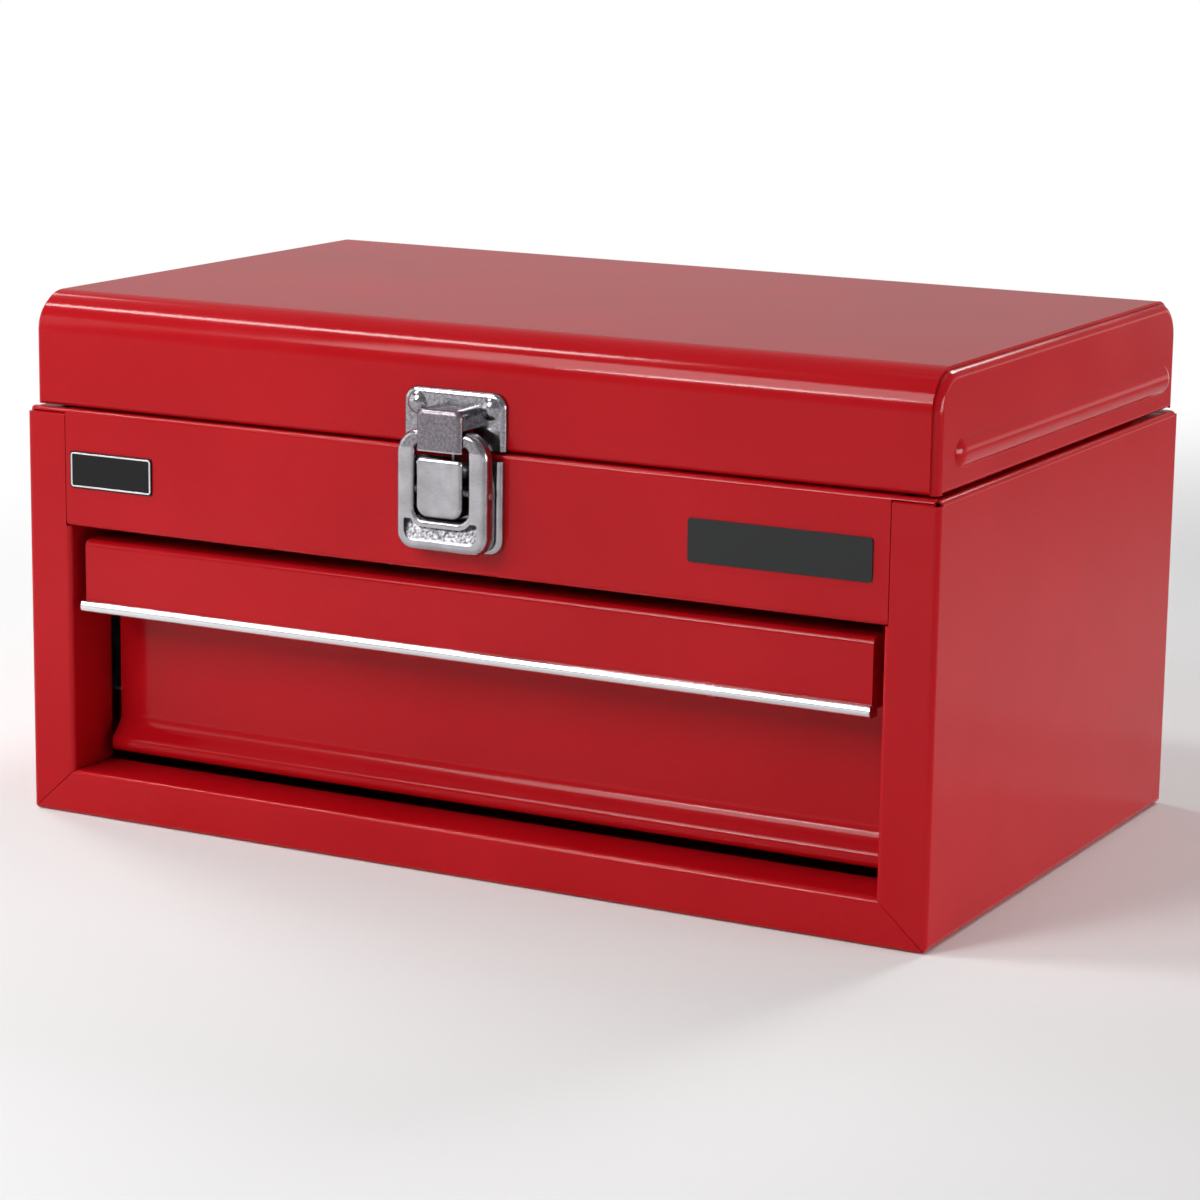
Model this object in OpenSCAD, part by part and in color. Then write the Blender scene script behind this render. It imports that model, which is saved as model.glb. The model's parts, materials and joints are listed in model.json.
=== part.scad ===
// Portable tool box: a folded steel carcass with one drawer on ball-bearing
// slides, a hinged lid over a top compartment, and a sprung rocker latch.
// Millimetres. Origin at the centre of the base; +X right, -Y front, +Z up.

/* [Carcass] */
// Outer width of the carcass
body_w = 355; // [330:1:420]
// Outer depth of the carcass
body_d = 222; // [215:1:260]
// Height of the carcass sides, up to the lid seam
body_h = 149; // [144:0.2:170]
// Thickness of the painted sheet
sheet_t = 1.0; // [0.8:0.1:1.2]
// Width of the front stiles beside the drawer
frame_w = 18.3; // [17:0.1:20]
// Height of the bottom rail
sill_h = 16.5; // [15:0.5:20]
// Depth of the folded returns behind the front stiles and rails
return_d = 24; // [20:1:30]
// Outer radius of the folds along the bottom edges
fold_r = 3; // [2.5:0.5:5]
// Height of the upper front rail below the top of the sides
rail_h = 42; // [40:0.2:46]

/* [Lid] */
// Height of the lid
lid_h = 40; // [38:1:60]
// Open seam between the carcass sides and the lid
lid_gap = 1.0; // [0.9:0.1:1.6]
// How far the lid stands in from the carcass at the front and sides
lid_inset = 2; // [1:0.5:4]
// Outer radius of the front and rear folds of the lid
lid_r = 14; // [12:1:18]
// Outer radius of the rolled rim of the end panels
rim_r = 2.8; // [2:0.2:3.4]
// Height of the pressed bead on each end panel
bead_h = 10; // [8:1:14]
// How far the bead stands proud
bead_proud = 2; // [1:0.5:2]

/* [Hinge] */
// Length of the continuous hinge
hinge_l = 320; // [256:16:320]
// Outer radius of the hinge knuckles
knuckle_r = 1.9; // [1.8:0.1:2.2]
// Diameter of the hinge pin
hinge_pin_d = 2.08; // [1.8:0.04:2.2]
// Thickness of the hinge leaves
leaf_t = 0.8; // [0.6:0.1:1]
// Length of one knuckle with its gap
knuckle_pitch = 16; // [8:8:32]

/* [Drawer] */
// Gap between the drawer front and the top of its opening
drawer_top_gap = 5; // [3:0.5:8]
// Gap between the drawer front and the bottom rail
drawer_low_gap = 4; // [3:0.5:8]
// Gap between the ends of the drawer front and the stiles
drawer_side_gap = 4.4; // [4:0.2:8]
// How far the upper band of the drawer front stands behind the carcass face
band_inset = 3; // [3:0.5:5]
// Height of the upper band of the drawer front
band_h = 26.3; // [22:0.1:32]
// Depth of the finger recess below the band
recess_d = 20.7; // [16:0.1:26]
// How far the lower edge of the drawer front flares forward
flare = 5.8; // [4:0.2:7]
// Height of the aluminium edge trim
trim_h = 4.4; // [3.6:0.2:6]
// Height of the drawer sides
drawer_h = 62; // [50:1:66]

/* [Slides] */
// Length of the ball-bearing slides
slide_l = 180; // [160:5:200]
// Height of the slides
slide_h = 35; // [30:1:40]
// Thickness of a complete slide
slide_w = 12.7; // [12.5:0.1:13.5]
// Thickness of the slide steel
slide_t = 1.0; // [0.9:0.1:1.2]
// Radius of the bearing balls
ball_r = 1.6; // [1.5:0.05:1.7]
// Balls in each row
balls_per_row = 4; // [3:1:5]
// Distance between the balls
ball_pitch = 14; // [10:1:16]

/* [Latch] */
// Width of the latch plates
latch_w = 39.6; // [37:0.4:44]
// Height of the keeper plate on the lid
keeper_h = 19.4; // [18:0.2:21]
// Height of the base plate on the carcass
latch_base_h = 32.4; // [32:0.2:34]
// Thickness of the latch metal
latch_t = 0.9; // [0.8:0.05:1]
// Depth of the two dished plates
plate_depth = 2.2; // [2:0.1:2.4]
// Width of the hood and of the raised cover
hood_w = 17.6; // [16:0.2:20]
// Height of the hood above the seam
hood_h = 14.4; // [13.6:0.2:15]
// Width of the rocking lever
lever_w = 35.2; // [34:0.2:36]
// Height of the rocking lever
lever_h = 41.6; // [41:0.1:42]
// Distance of the lever face from the carcass face
lever_out = 9; // [8.8:0.1:9.4]
// Diameter of the latch pin
latch_pin_d = 2.4; // [2:0.1:2.6]
// Radius of the domed rivet heads
rivet_r = 3.8; // [3:0.1:4]

/* [Badges] */
// Width of the small left plate
badge_left_w = 35; // [25:1:45]
// Height of the small left plate
badge_left_h = 13.2; // [10:0.2:16]
// Width of the larger right plate
badge_right_w = 66; // [50:1:80]
// Height of the larger right plate
badge_right_h = 14.6; // [10:0.2:18]
// Thickness of both plates
badge_t = 0.6; // [0.4:0.1:1]

/* [Hidden] */
$fn = 64;

red = [0.70, 0.13, 0.16];
steel = [0.74, 0.75, 0.77];
zinc = [0.66, 0.67, 0.66];
t = sheet_t;
bend_r = 1.5 * t;             // centre-line radius of the ordinary folds
top_r = t;                    // and of the tighter ones along the front's top
seam = 0.3;                   // dark seam where two sheets meet
touch = 0.05;                 // gap between parts that lie on each other

// faces of the carcass
side_x = body_w / 2;
front_y = -body_d / 2;
back_y = body_d / 2;
opening_x = side_x - frame_w;
opening_low = sill_h;
opening_top = body_h - rail_h;
back_top = body_h - 1.4;      // the back, the stiles and the rail end at
stile_top = body_h - 1;       // their own heights under the lid
rail_top = body_h + 0.4;
rail_seam = 16.5;             // width of the stiles beside the upper rail
rail_x = side_x - rail_seam;
top_lip = 3;                  // lip below the top edges of the stiles
top_flange = 12;
top_drop = 5;
back_flange = 12;
rail_top_d = 14;              // depth of the upper rail's folded top edge
rail_top_drop = 6.5;          // and of the lip that hangs from it
rail_drop = 7.5;              // lip that hangs behind the bottom rail
panel_foot = 10;              // foot that the back panel stands on
shelf_lip = 8;                // turned-up edges of the shelf
corner_w = 2.6;               // relief at the top of the front corners,
corner_drop = 0.8;            // its width and depth
mitre_reach = frame_w + 6;
mitre_slope = sill_h / frame_w;
mitre_gap = seam / 2;

// lid faces
lid_x = side_x - lid_inset;
lid_front_y = front_y + lid_inset;
lid_z0 = body_h + lid_gap;
lid_z1 = lid_z0 + lid_h;
lap = t + touch;              // the end panels sit this far inside the wrap
lid_flange = 6;
bead_up = 11.6;               // height of the bead on the end panels
bead_in = 14;                 // and its distance from the lid's front
bead_z = lid_z0 + bead_up;
bead_front = lid_front_y + bead_in;
bead_back = back_y - 8;

// hinge: the pin lies just inside the back faces, so that the lid's rear edge
// comes to rest on the back edge of the carcass a little past upright
pin_fit = 0.06;
panel_in_y = back_y - 2 * t;
axis_y = panel_in_y + knuckle_r - leaf_t;
axis_z = (back_top + lid_z0) / 2;
knuckle_clear = 0.4;
knuckle_gap = 0.4;
leaf_w = 12;
knuckles = round(hinge_l / knuckle_pitch);

// drawer
front_x = opening_x - drawer_side_gap;
band_y = front_y + band_inset;
face_y = band_y + recess_d;
front_top = opening_top - drawer_top_gap;
front_low = opening_low + drawer_low_gap;
band_low = front_top - band_h;
slide_x = rail_x;                         // mounting face of the outer members
drawer_x = slide_x - slide_w;             // outer face of the drawer sides
slide_z = (opening_low + opening_top) / 2 - 3;
slide_y0 = face_y + 3.5;
drawer_z0 = front_low + 2;
drawer_y0 = face_y + t + touch;
drawer_y1 = slide_y0 + slide_l - 4;
flare_top = 10.6;                         // corners of the flared edge, above its foot
flare_low = flare_top - flare;

// slide section: each row of balls runs between two curled edges
ball_fit = 0.1;
curl_r = ball_r + ball_fit + slide_t / 2; // centre line of a curl
ball_x = slide_x - slide_w / 2;
ball_z = slide_h / 2 - slide_t / 2 - curl_r;
curl_sweep = 75;                          // each curl stops short of the cage
seam_min = 0.02;                          // straight stub at the end of a curl
web_bend = 1.2;
cage_off = 1.3;                           // cage's centre line behind the outer web
cage_t = 0.5;
cage_l = balls_per_row * ball_pitch - 2;
cage_tab = ball_r + 0.4;
cage_y = slide_y0 + slide_l / 2;

// latch
keeper_z0 = lid_z0 + 0.4;
base_z1 = stile_top - 0.8;
base_z0 = base_z1 - latch_base_h;
plate_r = 5;
plate_rim = 2;
keeper_y = lid_front_y - plate_depth;     // front faces of the two plates
base_y = front_y - plate_depth;
lever_y = front_y - lever_out;
lever_z0 = base_z0 + 0.6;
lever_z1 = lever_z0 + lever_h;
lever_skirt = lever_out - plate_depth - 0.6;
window_w = hood_w + 3.4;
window_z0 = lever_z0 + 10.8;
window_z1 = lid_z0 + 1.6;
hood_y = lever_y - 1.7;
hood_lip = 1.9;                           // how far the hood's lip turns in
window_r = [4, 1.5, 1.5, 4];              // corners, from the lower left round
window_rim = 1.5;                         // width of the window's turned-in edge
window_skirt = 2.2;                       // and its depth
window_lap = 0.3;                         // how far the edge runs into the face
lever_r = [6, 9, 9, 6];
lever_rim = 2.4;                          // round edge of the lever's face
scoop_z1 = window_z0 + 1;                 // finger scoop, its top,
scoop_in = 2.5;                           // its distance from the lever's edges
scoop_depth = 2.9;                        // and how deep it is at the window
cover_y = lever_y - 1.3;
cover_z1 = base_z1 + 0.4;
cover_z0 = window_z0 + 1.2;
latch_pin_y = front_y - 5.2;
latch_pin_up = 20.5;                      // height of the pin on the lever
latch_pin_z = lever_z0 + latch_pin_up;
ear_x = lever_w / 2 - latch_t - 0.4;      // outer face of the ears
ear_r = latch_pin_d / 2 + 1.1;
wire_r = 0.4;
coil_r = latch_pin_d / 2 + 0.25 + wire_r;
coil_turns = 7;
coil_pitch = 1.1;
rivet_in = 5.6;                           // rivet centre from the plate's side
shank_r = 1.5;
small_rivet_r = 2.2;
flat_head = 0.6;                          // thickness of the slides' flat rivet heads

// ---- folded sheet ---------------------------------------------------------

function heading(a, b) = (b - a) / norm(b - a);
function left_of(d) = [-d[1], d[0]];
function turning(p, i) =
    let (d1 = heading(p[i - 1], p[i]), d2 = heading(p[i], p[i + 1]))
    atan2(cross(d1, d2), d1 * d2);
function set_back(p, r, i) =
    (i == 0 || i == len(p) - 1) ? 0 : r[i] * tan(abs(turning(p, i)) / 2);

function bend_centre(p, r, i) =
    let (d = heading(p[i - 1], p[i]))
    p[i] - d * set_back(p, r, i) + left_of(d) * sign(turning(p, i)) * r[i];

// One edge of the strip: hand = 1 on its left, -1 on its right. It goes by the
// bend's centre on the inside of a bend and by the sharp corner on the outside.
function edge_points(p, r, half, hand) = [
    for (i = [0:len(p) - 1])
        let (last = len(p) - 1,
             n1 = hand * left_of(heading(p[max(i - 1, 0)], p[max(i, 1)])),
             n2 = hand * left_of(heading(p[min(i, last - 1)], p[min(i + 1, last)])))
        each (i == 0 || i == last) ? [p[i] + half * n1]
            : sign(turning(p, i)) != hand ? [p[i] + half * (n1 + n2) / (1 + n1 * n2)]
            : let (d1 = heading(p[i - 1], p[i]), d2 = heading(p[i], p[i + 1]),
                   back = set_back(p, r, i))
              [p[i] - d1 * back + half * n1, bend_centre(p, r, i), p[i] + d2 * back + half * n2]
];

// What lies outside a bend of outer radius r that starts at angle a
module outside_bend(r, a, sweep) {
    far = r + 0.01;
    difference() {
        polygon([[0, 0], far * [cos(a), sin(a)],
                 far / cos(sweep / 2) * [cos(a + sweep / 2), sin(a + sweep / 2)],
                 far * [cos(a + sweep), sin(a + sweep)]]);
        circle(r);
    }
}

// Section of a sheet folded along the points p, with a bend of centre-line
// radius r[i] at each inner point
module folded(p, r, thick = t) {
    last = len(p) - 1;
    half = thick / 2;
    left = edge_points(p, r, half, 1);
    right = edge_points(p, r, half, -1);
    difference() {
        polygon(concat(left, [for (i = [len(right) - 1:-1:0]) right[i]]));
        for (i = [1:1:last - 1]) translate(bend_centre(p, r, i)) {
            out = p[i] - set_back(p, r, i) * heading(p[i - 1], p[i]) - bend_centre(p, r, i);
            circle(r[i] - half);
            outside_bend(r[i] + half, atan2(out[1], out[0]), turning(p, i));
        }
    }
}

// Section in X-Z, drawn out along Y
module along_y(y0, y1) {
    translate([0, y1, 0]) rotate([90, 0, 0]) linear_extrude(y1 - y0) children();
}

// Section in Y-Z, drawn out along X
module along_x(x0, x1) {
    translate([x0, 0, 0]) rotate([90, 0, 90]) linear_extrude(x1 - x0) children();
}

// Section in X-Y, drawn out along Z
module along_z(z0, z1) {
    translate([0, 0, z0]) linear_extrude(z1 - z0) children();
}

module block(x0, x1, y0, y1, z0, z1) {
    translate([x0, y0, z0]) cube([x1 - x0, y1 - y0, z1 - z0]);
}

module both_sides() {
    children();
    mirror([1, 0, 0]) children();
}

// Rod along X
module rod_x(x0, x1, y, z, r) {
    translate([x0, y, z]) rotate([0, 90, 0]) cylinder(h = x1 - x0, r = r);
}

// Rod along Y
module rod_y(y0, y1, x, z, r) {
    translate([x, y1, z]) rotate([90, 0, 0]) cylinder(h = y1 - y0, r = r);
}

// ---- dished plates --------------------------------------------------------

// Outline w by h standing on y = 0, with corner radii
// r = [bottom left, top left, top right, bottom right], drawn in by inset
module plate_outline(w, h, r, inset = 0) {
    low = inset;
    high = h - inset;
    side = w / 2 - inset;
    q = [for (v = r) max(v - inset, 0)];
    at = [[-side, low, 1, 1], [-side, high, 1, -1], [side, high, -1, -1], [side, low, -1, 1]];
    difference() {
        translate([-side, low]) square([2 * side, high - low]);
        for (i = [0:3]) if (q[i] > 0) corner_cut(at[i], q[i]);
    }
}

module corner_cut(c, r) {
    difference() {
        translate([c[0] + (c[2] < 0 ? -r : -1), c[1] + (c[3] < 0 ? -r : -1)])
            square(r + 1);
        translate([c[0] + c[2] * r, c[1] + c[3] * r]) circle(r);
    }
}

// The section given as a child (x inward from the outline, y outward from the
// wall) carried round the left, top and right edges, and the bottom if closed
module carried_round(w, h, r, closed = false) {
    edge_run(-w / 2, r[0], h - r[1]) children();
    mirror([1, 0, 0]) edge_run(-w / 2, r[3], h - r[2]) children();
    translate([0, h, 0]) rotate([0, 0, -90])
        edge_run(0, -w / 2 + r[1], w / 2 - r[2]) children();
    corner_run(-w / 2 + r[1], h - r[1], r[1], 90) children();
    mirror([1, 0, 0]) corner_run(-w / 2 + r[2], h - r[2], r[2], 90) children();
    if (closed) {
        rotate([0, 0, 90]) edge_run(0, -w / 2 + r[3], w / 2 - r[0]) children();
        corner_run(-w / 2 + r[0], r[0], r[0], 180) children();
        mirror([1, 0, 0]) corner_run(-w / 2 + r[3], r[3], r[3], 180) children();
    }
}

module edge_run(x, y0, y1) {
    translate([x, y1, 0]) rotate([90, 0, 0]) linear_extrude(y1 - y0) children();
}

module corner_run(x, y, r, a) {
    translate([x, y, 0]) rotate([0, 0, a]) rotate_extrude(angle = 90)
        translate([r, 0]) mirror([1, 0]) children();
}

// Section of a dished edge: a skirt, a round edge and the start of the face
module dish_edge(depth, rim, thick, skirt_from = 0) {
    folded([[thick / 2, skirt_from], [thick / 2, depth - thick / 2], [rim, depth - thick / 2]],
           [0, rim - thick / 2 - 0.05, 0], thick);
}

// A dished plate; local z points out of the wall
module dish(w, h, r, depth, rim, thick, closed = false) {
    carried_round(w, h, r, closed) dish_edge(depth, rim, thick);
    translate([0, 0, depth - thick]) linear_extrude(thick)
        difference() {
            plate_outline(w, h, r, rim);
            if (!closed) translate([-w, -1]) square([2 * w, 1]);
        }
    if (!closed) translate([-w / 2 + rim, 0, depth - thick]) cube([w - 2 * rim, rim, thick]);
}

// Turns local x, y, z into X, Z and -Y, standing on the wall at y, from z
module on_front(y, z) {
    translate([0, y, z]) rotate([90, 0, 0]) children();
}

// ---- rivets ---------------------------------------------------------------

// Domed rivet through a front wall: head in front of y_head, tail behind y_tail
module front_rivet(x, z, y_head, y_tail, r) {
    dome = 0.45 * r;
    ball = (r * r + dome * dome) / (2 * dome);
    tail = 0.8;
    intersection() {
        translate([x, y_head - dome + ball, z]) sphere(ball);
        block(x - r, x + r, y_head - dome, y_head, z - r, z + r);
    }
    rod_y(y_head, y_tail + tail, x, z, shank_r);
    rod_y(y_tail, y_tail + tail, x, z, shank_r + 0.8);
}

// Flat rivet along X, between two faces
module side_rivet(x0, x1, y, z, head) {
    rod_x(x0 - head, x1 + head, y, z, shank_r);
    rod_x(x0 - head, x0, y, z, shank_r + 0.9);
    rod_x(x1, x1 + head, y, z, shank_r + 0.9);
}

keeper_rivet_z = keeper_z0 + keeper_h - 5.4;
keeper_rivet_x = latch_w / 2 - rivet_in;
base_rivets_at = [[9, base_z0 + 5], [-9, base_z0 + 5],
                  [13.2, base_z1 - 4.7], [-13.2, base_z1 - 4.7]];

// ---- carcass --------------------------------------------------------------

// What lies above the mitre at the left bottom corner, in X-Z
module above_mitre() {
    x = -side_x + mitre_reach;
    polygon([[-side_x - 1, mitre_gap - mitre_slope], [x, mitre_reach * mitre_slope + mitre_gap],
             [x, body_h + 1], [-side_x - 1, body_h + 1]]);
}

// What lies below the mitres at both bottom corners
module below_mitre() {
    x = side_x - mitre_reach;
    z = mitre_reach * mitre_slope - mitre_gap;
    polygon([[-side_x - 1, -mitre_slope - mitre_gap], [-x, z],
             [x, z], [side_x + 1, -mitre_slope - mitre_gap]]);
}

module front_stile() {
    x = -side_x + t / 2;
    fold = [[x, front_y + fold_r + 1], [x, front_y + t / 2],
            [-opening_x - t / 2, front_y + t / 2], [-opening_x - t / 2, front_y + return_d]];
    // top edge, folded back under the end of the upper rail
    y = front_y + t / 2;
    z = stile_top - t / 2;
    top = [[y, z - top_lip], [y, z], [front_y + fold_r - seam, z]];
    difference() {
        intersection() {
            along_z(0, stile_top - corner_drop) folded(fold, [0, bend_r, bend_r, 0]);
            along_y(front_y - 1, front_y + return_d + 1) above_mitre();
        }
        // beside the upper rail only the front of the stile goes on
        block(-rail_x, -opening_x + 1, front_y - 1, front_y + return_d + 1,
              opening_top - touch, body_h);
        block(-rail_x - 3 * t, -opening_x + 1, front_y + t, front_y + return_d + 1,
              opening_top - touch, body_h);
    }
    along_x(-side_x + corner_w, -rail_x) folded(top, [0, top_r, 0]);
}

module bottom_rail() {
    y = front_y + t / 2;
    y_in = front_y + return_d - t / 2;
    z = opening_low - t / 2;
    fold = [[front_y + fold_r + 1, t / 2], [y, t / 2], [y, z], [y_in, z], [y_in, z - rail_drop]];
    intersection() {
        along_x(-side_x, side_x) folded(fold, [0, bend_r, bend_r, bend_r, 0]);
        along_y(front_y - 1, front_y + return_d + 1) below_mitre();
    }
}

module back_flanges() {
    x = -side_x + t / 2;
    side = [[x, back_y - fold_r - 1], [x, back_y - t / 2], [-side_x + back_flange, back_y - t / 2]];
    low = [[back_y - fold_r - 1, t / 2], [back_y - t / 2, t / 2], [back_y - t / 2, back_flange]];
    both_sides() intersection() {
        along_z(0, back_top) folded(side, [0, bend_r, 0]);
        along_y(back_y - fold_r - 2, back_y + 1) above_mitre();
    }
    intersection() {
        along_x(-side_x, side_x) folded(low, [0, bend_r, 0]);
        along_y(back_y - fold_r - 2, back_y + 1) below_mitre();
    }
}

module side_and_floor_section() {
    x = side_x - t / 2;
    z = body_h - t / 2;
    inner = x - top_flange;
    folded([[-inner, z - top_drop], [-inner, z], [-x, z], [-x, t / 2],
            [x, t / 2], [x, z], [inner, z], [inner, z - top_drop]],
           [0, bend_r, bend_r, fold_r - t / 2, fold_r - t / 2, bend_r, bend_r, 0]);
}

module body_shell() {
    color(red) {
        along_y(front_y + fold_r, back_y - fold_r) side_and_floor_section();
        intersection() {
            union() {
                both_sides() front_stile();
                bottom_rail();
                back_flanges();
            }
            along_y(front_y, back_y) plate_outline(body_w, body_h, [fold_r, 0, 0, fold_r]);
        }
    }
}

module back_panel() {
    x = side_x - t - bend_r - touch;
    y = back_y - 1.5 * t;
    z0 = 1.5 * t + touch;
    z1 = axis_z - knuckle_r - knuckle_clear;
    fold = [[y - panel_foot, z0], [y, z0], [y, z1]];
    color(red) difference() {
        along_x(-x, x) folded(fold, [0, bend_r, 0]);
        // the top corners clear the folded edges of the sides
        both_sides() block(-x - 1, -side_x + top_flange + t, back_y - 3 * t, back_y,
                           body_h - top_drop - 2 * t, body_h);
        // the lower corners clear the round folds of the wrap
        both_sides() block(-x - 1, -side_x + fold_r, y - panel_foot - 1, back_y, 0, fold_r);
    }
}

module front_rail() {
    y = front_y + t / 2;
    y_in = front_y + rail_top_d;
    z = rail_top - t / 2;
    fold = [[y_in, z - rail_top_drop], [y_in, z], [y, z], [y, opening_top + t / 2],
            [front_y + return_d, opening_top + t / 2]];
    x = rail_x - seam;
    x_end = side_x - corner_w + 0.4;
    color(red) difference() {
        union() {
            along_x(-x, x) folded(fold, [0, bend_r, top_r, bend_r, 0]);
            // the top edge runs on over the stiles
            intersection() {
                along_x(-x_end, x_end)
                    folded([[y + 2 * fold_r, z], [y, z], [y, z - top_lip]], [0, top_r, 0]);
                block(-x_end, x_end, front_y, front_y + fold_r - seam, stile_top + seam,
                      rail_top);
            }
        }
        for (p = base_rivets_at) rod_y(front_y - 1, front_y + 3 * t, p[0], p[1],
                                       shank_r + touch);
    }
}

module shelf() {
    x = side_x - t - touch;
    z = opening_top + 1.5 * t + touch;
    y1 = panel_in_y - leaf_t - touch;
    side = [[-x + t / 2, z + shelf_lip], [-x + t / 2, z], [x - t / 2, z],
            [x - t / 2, z + shelf_lip]];
    back = [[y1 - 3 * bend_r, z], [y1 - t / 2, z], [y1 - t / 2, z + shelf_lip]];
    color(red) {
        along_y(front_y + return_d + touch, y1 - 2 * bend_r) folded(side, [0, bend_r, bend_r, 0]);
        along_x(-x + 3 * bend_r, x - 3 * bend_r) folded(back, [0, bend_r, 0]);
        block(-opening_x + seam, opening_x - seam, front_y + 2 * t + touch,
              front_y + return_d + touch, z - t / 2, z + t / 2);
    }
}

module badge(w, h, x) {
    on_front(front_y, (opening_top + body_h - h) / 2)
        translate([x, 0, 0]) linear_extrude(badge_t) plate_outline(w, h, [1, 1, 1, 1]);
}

module badge_left() {
    color([0.08, 0.08, 0.09]) badge(badge_left_w, badge_left_h,
                                    -rail_x + 2.6 + badge_left_w / 2);
}

module badge_right() {
    color([0.17, 0.18, 0.19]) badge(badge_right_w, badge_right_h,
                                    rail_x - 6 - badge_right_w / 2);
}

// ---- lid ------------------------------------------------------------------

module lid_shell() {
    r = lid_r - t / 2;
    y0 = lid_front_y + t / 2;
    y1 = back_y - t / 2;
    x = lid_x - rim_r;
    fold = [[y0 + lid_flange, lid_z0 + t / 2], [y0, lid_z0 + t / 2], [y0, lid_z1 - t / 2],
            [y1, lid_z1 - t / 2], [y1, lid_z0]];
    color(red) difference() {
        along_x(-x, x) folded(fold, [0, bend_r, r, r, 0]);
        block(-hinge_l / 2 - 1, hinge_l / 2 + 1, back_y - 2 * t, back_y + 1,
              lid_z0 - 1, axis_z + knuckle_r + knuckle_clear);
        for (s = [-1, 1]) rod_y(lid_front_y - 1, lid_front_y + 2 * t,
                                s * keeper_rivet_x, keeper_rivet_z, shank_r + touch);
    }
}

// A capsule along Y, as the inner or outer skin of the bead
module bead_skin(grow) {
    ball = (bead_h * bead_h / 4 + bead_proud * bead_proud) / (2 * bead_proud);
    x = -lid_x - bead_proud + ball;
    half = bead_h / 2;
    translate([x, bead_front + half, bead_z]) sphere(ball + grow);
    translate([x, bead_back - half, bead_z]) sphere(ball + grow);
    rod_y(bead_front + half, bead_back - half, x, bead_z, ball + grow);
}

// Left end panel: a pan with a rolled rim round three edges and a flange below
module lid_end() {
    d = back_y - lid_front_y - 2 * lap;
    h = lid_h - lap;
    r = lid_r - lap;
    mid_y = (lid_front_y + back_y) / 2;
    rim_in = rim_r + 0.2;
    low_r = 1.5 * t;
    flange = 9;
    difference() {
        union() {
            translate([-lid_x, mid_y, lid_z0]) rotate([90, 0, 90]) {
                carried_round(d, h, [0, r, r, 0])
                    folded([[rim_in, t / 2], [t / 2, t / 2], [t / 2, flange]],
                           [0, rim_r - t / 2, 0]);
                linear_extrude(t) difference() {
                    plate_outline(d, h, [0, r, r, 0], rim_in);
                    translate([-d, -1]) square([2 * d, 1]);
                }
                translate([-d / 2 + rim_in, 0, 0]) cube([d - 2 * rim_in, rim_in, t]);
                translate([-d / 2 + rim_in, 0, 0])
                    cube([d - 2 * rim_in - t, t, lid_flange]);
            }
            intersection() {
                bead_skin(0);
                block(-lid_x - bead_proud - 1, -lid_x + t, lid_front_y, back_y, lid_z0, lid_z1);
            }
        }
        bead_skin(-t);
        // rounded fold along the lower edge
        translate([-lid_x, mid_y, lid_z0]) rotate([90, 0, 90])
            along_x(-d / 2 + rim_in, d / 2 - rim_in) translate([low_r, low_r])
                outside_bend(low_r, 180, 90);
        // the wrap's front flange and its fold run past the end of the pan's own flange
        block(-lid_x + rim_r, 0, lid_front_y, lid_front_y + lid_flange + 2 * t,
              lid_z0 - 1, lid_z0 + t + touch);
        block(-lid_x + rim_r, 0, lid_front_y, lid_front_y + t + bend_r,
              lid_z0 - 1, lid_z0 + t + bend_r);
    }
}

module lid_end_left() {
    color(red) lid_end();
}

module lid_end_right() {
    color(red) mirror([1, 0, 0]) lid_end();
}

// ---- continuous hinge -----------------------------------------------------

// Knuckles of one leaf: first = 0 or 1, at every second place
module knuckle_row(first) {
    for (i = [first:2:knuckles - 1]) {
        x0 = -hinge_l / 2 + i * knuckle_pitch + knuckle_gap / 2;
        translate([x0, 0, 0]) children();
    }
}

module knuckle_bore() {
    rod_x(-hinge_l / 2 - 1, hinge_l / 2 + 1, axis_y, axis_z, hinge_pin_d / 2 + pin_fit);
}

module hinge_leaf_body() {
    l = knuckle_pitch - knuckle_gap;
    y0 = panel_in_y - leaf_t;
    z1 = axis_z - knuckle_r - knuckle_clear;
    color(zinc) difference() {
        union() {
            block(-hinge_l / 2, hinge_l / 2, y0, panel_in_y, z1 - leaf_w, z1);
            knuckle_row(0) {
                rod_x(0, l, axis_y, axis_z, knuckle_r);
                block(0, l, y0, panel_in_y, z1 - 1, axis_z);
            }
        }
        knuckle_bore();
    }
}

module hinge_leaf_lid() {
    l = knuckle_pitch - knuckle_gap;
    y1 = back_y - t;
    z0 = axis_z + knuckle_r + knuckle_clear;
    color(zinc) difference() {
        union() {
            block(-hinge_l / 2, hinge_l / 2, y1 - leaf_t, y1, z0, z0 + leaf_w);
            knuckle_row(1) {
                rod_x(0, l, axis_y, axis_z, knuckle_r);
                block(0, l, y1 - leaf_t, y1, axis_z + knuckle_r * 0.7, z0 + 1);
            }
        }
        knuckle_bore();
    }
}

module hinge_pin() {
    color(zinc) rod_x(-hinge_l / 2, hinge_l / 2, axis_y, axis_z, hinge_pin_d / 2);
}

// ---- latch ----------------------------------------------------------------

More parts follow.
